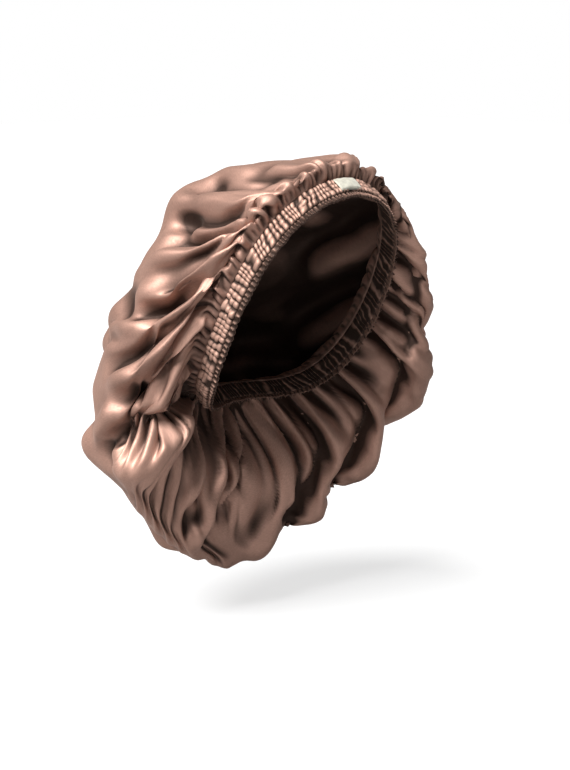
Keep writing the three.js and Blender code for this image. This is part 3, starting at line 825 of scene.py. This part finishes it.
def satinGroup():
    # Weave, slubs and slow changes of tone that every satin piece shares
    o = satin
    tree, given, result = addGroup("satinCloth", (
        ("Color", "NodeSocketColor", (0.3, 0.18, 0.14, 1)), ("Roughness", "NodeSocketFloat", 0.4),
        ("Vector", "NodeSocketVector", (0, 0, 0)),
    ), (("Color", "NodeSocketColor"), ("Roughness", "NodeSocketFloat"), ("Height", "NodeSocketFloat")))
    place = addNode(tree, "ShaderNodeTexCoord").outputs["Object"]
    threadScale = (o["threads"], o["threads"] / o["warpStretch"], 1)
    stretched = addNode(tree, "ShaderNodeMapping", Vector=given.outputs["Vector"], Scale=threadScale)
    threads = noiseNode(tree, stretched.outputs[0], 1.0, 1.0)
    slubs = noiseNode(tree, place, o["slubs"], 2.0)
    tones = noiseNode(tree, place, o["tones"], 3.0)
    light = mapRange(tree, tones, 0.3, 0.7, 1 - o["tone"], 1 + o["tone"])
    fine = mapRange(tree, threads, 0.25, 0.75, *o["threadShade"])
    color = scaled(tree, given.outputs["Color"], mathNode(tree, "MULTIPLY", light, fine))
    rough = mapRange(tree, slubs, 0.3, 0.7, *o["slubRoughness"])
    tree.links.new(color, result.inputs["Color"])
    rougher = mathNode(tree, "ADD", given.outputs["Roughness"], rough)
    tree.links.new(rougher, result.inputs["Roughness"])
    tree.links.new(mathNode(tree, "MULTIPLY_ADD", slubs, o["depth"], threads), result.inputs["Height"])
    return tree


def satinMaterial(name, look):
    # Satin with a painted highlight on the crests of its folds and painted shade in their creases
    o = satin
    material, tree, shader = newMaterial(name, {
        "Metallic": look["metallic"], "Specular IOR Level": o["specular"], "Sheen Weight": look["sheen"],
        "Sheen Roughness": o["sheenRoughness"], "Sheen Tint": o["sheenTint"],
    })
    cloth = tree.nodes.new("ShaderNodeGroup")
    cloth.node_tree = satinTree
    cloth.inputs["Color"].default_value = (*look["color"], 1)
    cloth.inputs["Roughness"].default_value = look["roughness"]
    flat = addNode(tree, "ShaderNodeUVMap", dict(uv_map="flatCloth")).outputs[0]
    tree.links.new(flat, cloth.inputs["Vector"])
    height = cloth.outputs["Height"]
    bump = addNode(tree, "ShaderNodeBump", Height=height, Strength=o["bump"], Distance=o["bumpHeight"])
    depth = addNode(tree, "ShaderNodeAttribute", dict(attribute_name="crease")).outputs["Fac"]
    # Painted shade in creases and painted highlight on crests, read from the crease mask
    shade = mapRange(tree, depth, *o["creaseRange"], look["crest"], look["crease"])
    tree.links.new(scaled(tree, cloth.outputs["Color"], shade), shader.inputs["Base Color"])
    tree.links.new(cloth.outputs["Roughness"], shader.inputs["Roughness"])
    tree.links.new(bump.outputs[0], shader.inputs["Normal"])
    return material


tape = dict(
    threads=900.0, waver=0.6, weave=0.3, soil=240.0, range=(0.3, 0.85), color=(0.56, 0.54, 0.45, 1),
    shade=(0.3, 0.29, 0.23, 1), roughness=0.78, sheen=0.25, bump=0.4, bumpHeight=0.0002,
)


def tapeThreads(tree, flat, direction):
    return addNode(
        tree, "ShaderNodeTexWave", dict(bands_direction=direction), Vector=flat, Scale=tape["threads"],
        Distortion=tape["waver"],
    ).outputs["Fac"]


def tapeMaterial():
    # Woven cream tape: two sets of threads crossing, a little soiled
    o = tape
    values = {"Roughness": o["roughness"], "Sheen Weight": o["sheen"]}
    material, tree, shader = newMaterial("creamTape", values)
    flat = addNode(tree, "ShaderNodeUVMap", dict(uv_map="flatCloth")).outputs[0]
    weave = mathNode(tree, "MAXIMUM", tapeThreads(tree, flat, "X"), tapeThreads(tree, flat, "Y"))
    shade = mathNode(tree, "MULTIPLY_ADD", weave, o["weave"], noiseNode(tree, flat, o["soil"], 3.0))
    ramp = addNode(tree, "ShaderNodeValToRGB", Fac=shade)
    for k, color in enumerate((o["shade"], o["color"])):
        ramp.color_ramp.elements[k].position = o["range"][k]
        ramp.color_ramp.elements[k].color = color
    bump = addNode(tree, "ShaderNodeBump", Height=weave, Strength=o["bump"], Distance=o["bumpHeight"])
    tree.links.new(ramp.outputs[0], shader.inputs["Base Color"])
    tree.links.new(bump.outputs[0], shader.inputs["Normal"])
    return material


threadLook = dict(twist=2400.0, roughness=0.6, dark=(0.05, 0.025, 0.02, 1), light=(0.16, 0.09, 0.07, 1))


def threadMaterial():
    material, tree, shader = newMaterial("brownThread", {"Roughness": threadLook["roughness"]})
    place = addNode(tree, "ShaderNodeTexCoord").outputs["Object"]
    ramp = addNode(tree, "ShaderNodeValToRGB", Fac=noiseNode(tree, place, threadLook["twist"], 1.0))
    ramp.color_ramp.elements[0].color = threadLook["dark"]
    ramp.color_ramp.elements[1].color = threadLook["light"]
    tree.links.new(ramp.outputs[0], shader.inputs["Base Color"])
    return material


# Colour of each satin, and what its crests take it times as painted highlight and its creases as painted
# shade
crownLook = dict(
    color=(0.34, 0.203, 0.158), roughness=0.56, metallic=0.6, sheen=0.08, crest=1.3, crease=0.16,
)
casingLook = dict(
    color=(0.4, 0.245, 0.19), roughness=0.58, metallic=0.5, sheen=0.08, crest=1.3, crease=0.12,
)
# The frill's colour, darker than the casing's same satin, is painted shade
frillLook = dict(
    color=(0.25, 0.15, 0.115), roughness=0.55, metallic=0.5, sheen=0.08, crest=1.1, crease=0.2,
)

satinTree = satinGroup()
crown = buildCrown()
crown.data.materials.append(satinMaterial("mauveSatin", crownLook))
casing, stitchPaths = buildCasing()
casing.data.materials.append(satinMaterial("ruchedSatin", casingLook))
print("casing:", len(casing.data.polygons), "faces")
frill = buildFrill()
frill.data.materials.append(satinMaterial("frillSatin", frillLook))
print("frill:", len(frill.data.polygons), "faces")
threads = buildStitches(stitchPaths, threadMaterial())
label = buildLabel()
label.data.materials.append(tapeMaterial())
print("label:", len(label.data.polygons), "faces")

for piece, node, slot in (
    (crown, "crown", "satin"), (casing, "elastic_casing", "ruched_satin"),
    (frill, "edge_frill", "frill_satin"), (label, "label", "woven_tape"),
):
    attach(piece, "root")
    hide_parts(node)
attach(threads, "root")

# Camera at the photograph's angle, from the front right and slightly above; originX and originY are
# the pixel that the middle of the head opening falls on
view = dict(
    azimuth=-45.0, elevation=8.0, distance=1.5, mmPerPixel=0.75, originX=289.0, originY=298.0,
    width=570, height=770, sensor=36.0,
)


def addCamera():
    o = view
    az, el = math.radians(o["azimuth"]), math.radians(o["elevation"])
    back = Vector((math.sin(az) * math.cos(el), -math.cos(az) * math.cos(el), math.sin(el)))
    focal = o["distance"] / (o["mmPerPixel"] * mm)
    right = Vector((math.cos(az), math.sin(az), 0))
    up = back.cross(right)
    aside = right * (o["originX"] - o["width"] / 2) / focal
    forward = -back - aside - up * (o["height"] / 2 - o["originY"]) / focal
    data = bpy.data.cameras.new("photoCamera")
    data.sensor_fit = "VERTICAL"
    data.sensor_height = o["sensor"]
    data.lens = o["sensor"] * focal / o["height"]
    camera = bpy.data.objects.new("photoCamera", data)
    camera.location = back * o["distance"]
    camera.rotation_euler = forward.normalized().to_track_quat("-Z", "Y").to_euler()
    bpy.context.scene.collection.objects.link(camera)
    bpy.context.scene.camera = camera


studio = dict(
    floorSize=6.0, floorLevel=-0.262, floorGlow=0.72, floorColor=0.3, floorRoughness=0.85,
    sky=0.028, skySeen=1.0, keyEnergy=7.2, keyAngle=38.0, keyWay=(0.72, 0.1, -0.95),
    fills=((0.8, (-0.9, -1.3, 0.15)), (1.8, (1.3, 0.5, 0.5))), fillSize=1.2,  # watts and place
)
white = (1, 1, 1, 1)


def seenOrNot(tree, seen, other):
    # One value for the camera and another for the light that a surface passes on
    path = tree.nodes.new("ShaderNodeLightPath")
    seenHere = path.outputs["Is Camera Ray"]
    return addNode(tree, "ShaderNodeMapRange", Value=seenHere, To_Min=other, To_Max=seen).outputs[0]


def addFloor():
    size, level = studio["floorSize"], studio["floorLevel"]
    corners = [(-size, -size, level), (size, -size, level), (size, size, level), (-size, size, level)]
    floor = newMesh("floor", corners, [(0, 1, 2, 3)])
    material, tree, shader = newMaterial("paleFloor", {
        "Roughness": studio["floorRoughness"], "Base Color": (studio["floorColor"],) * 3 + (1,),
        "Emission Color": white,
    })
    tree.links.new(seenOrNot(tree, studio["floorGlow"], 0.0), shader.inputs["Emission Strength"])
    floor.data.materials.append(material)


def addWorld():
    world = bpy.data.worlds.new("studio")
    world.use_nodes = True
    tree = world.node_tree
    background = tree.nodes["Background"]
    background.inputs["Color"].default_value = white
    tree.links.new(seenOrNot(tree, studio["skySeen"], studio["sky"]), background.inputs["Strength"])
    bpy.context.scene.world = world


def addLights():
    sun = bpy.data.lights.new("key", "SUN")
    sun.energy = studio["keyEnergy"]
    sun.angle = math.radians(studio["keyAngle"])
    key = bpy.data.objects.new("key", sun)
    key.rotation_euler = Vector(studio["keyWay"]).to_track_quat("-Z", "Y").to_euler()
    bpy.context.scene.collection.objects.link(key)
    for power, place in studio["fills"]:
        area = bpy.data.lights.new("fill", "AREA")
        area.size = studio["fillSize"]
        area.energy = power
        fill = bpy.data.objects.new("fill", area)
        fill.location = place
        fill.rotation_euler = (-Vector(place)).to_track_quat("-Z", "Y").to_euler()
        bpy.context.scene.collection.objects.link(fill)


addCamera()
addFloor()
addWorld()
addLights()
bpy.context.scene.view_settings.view_transform = "Standard"
print("camera, floor and lights placed")
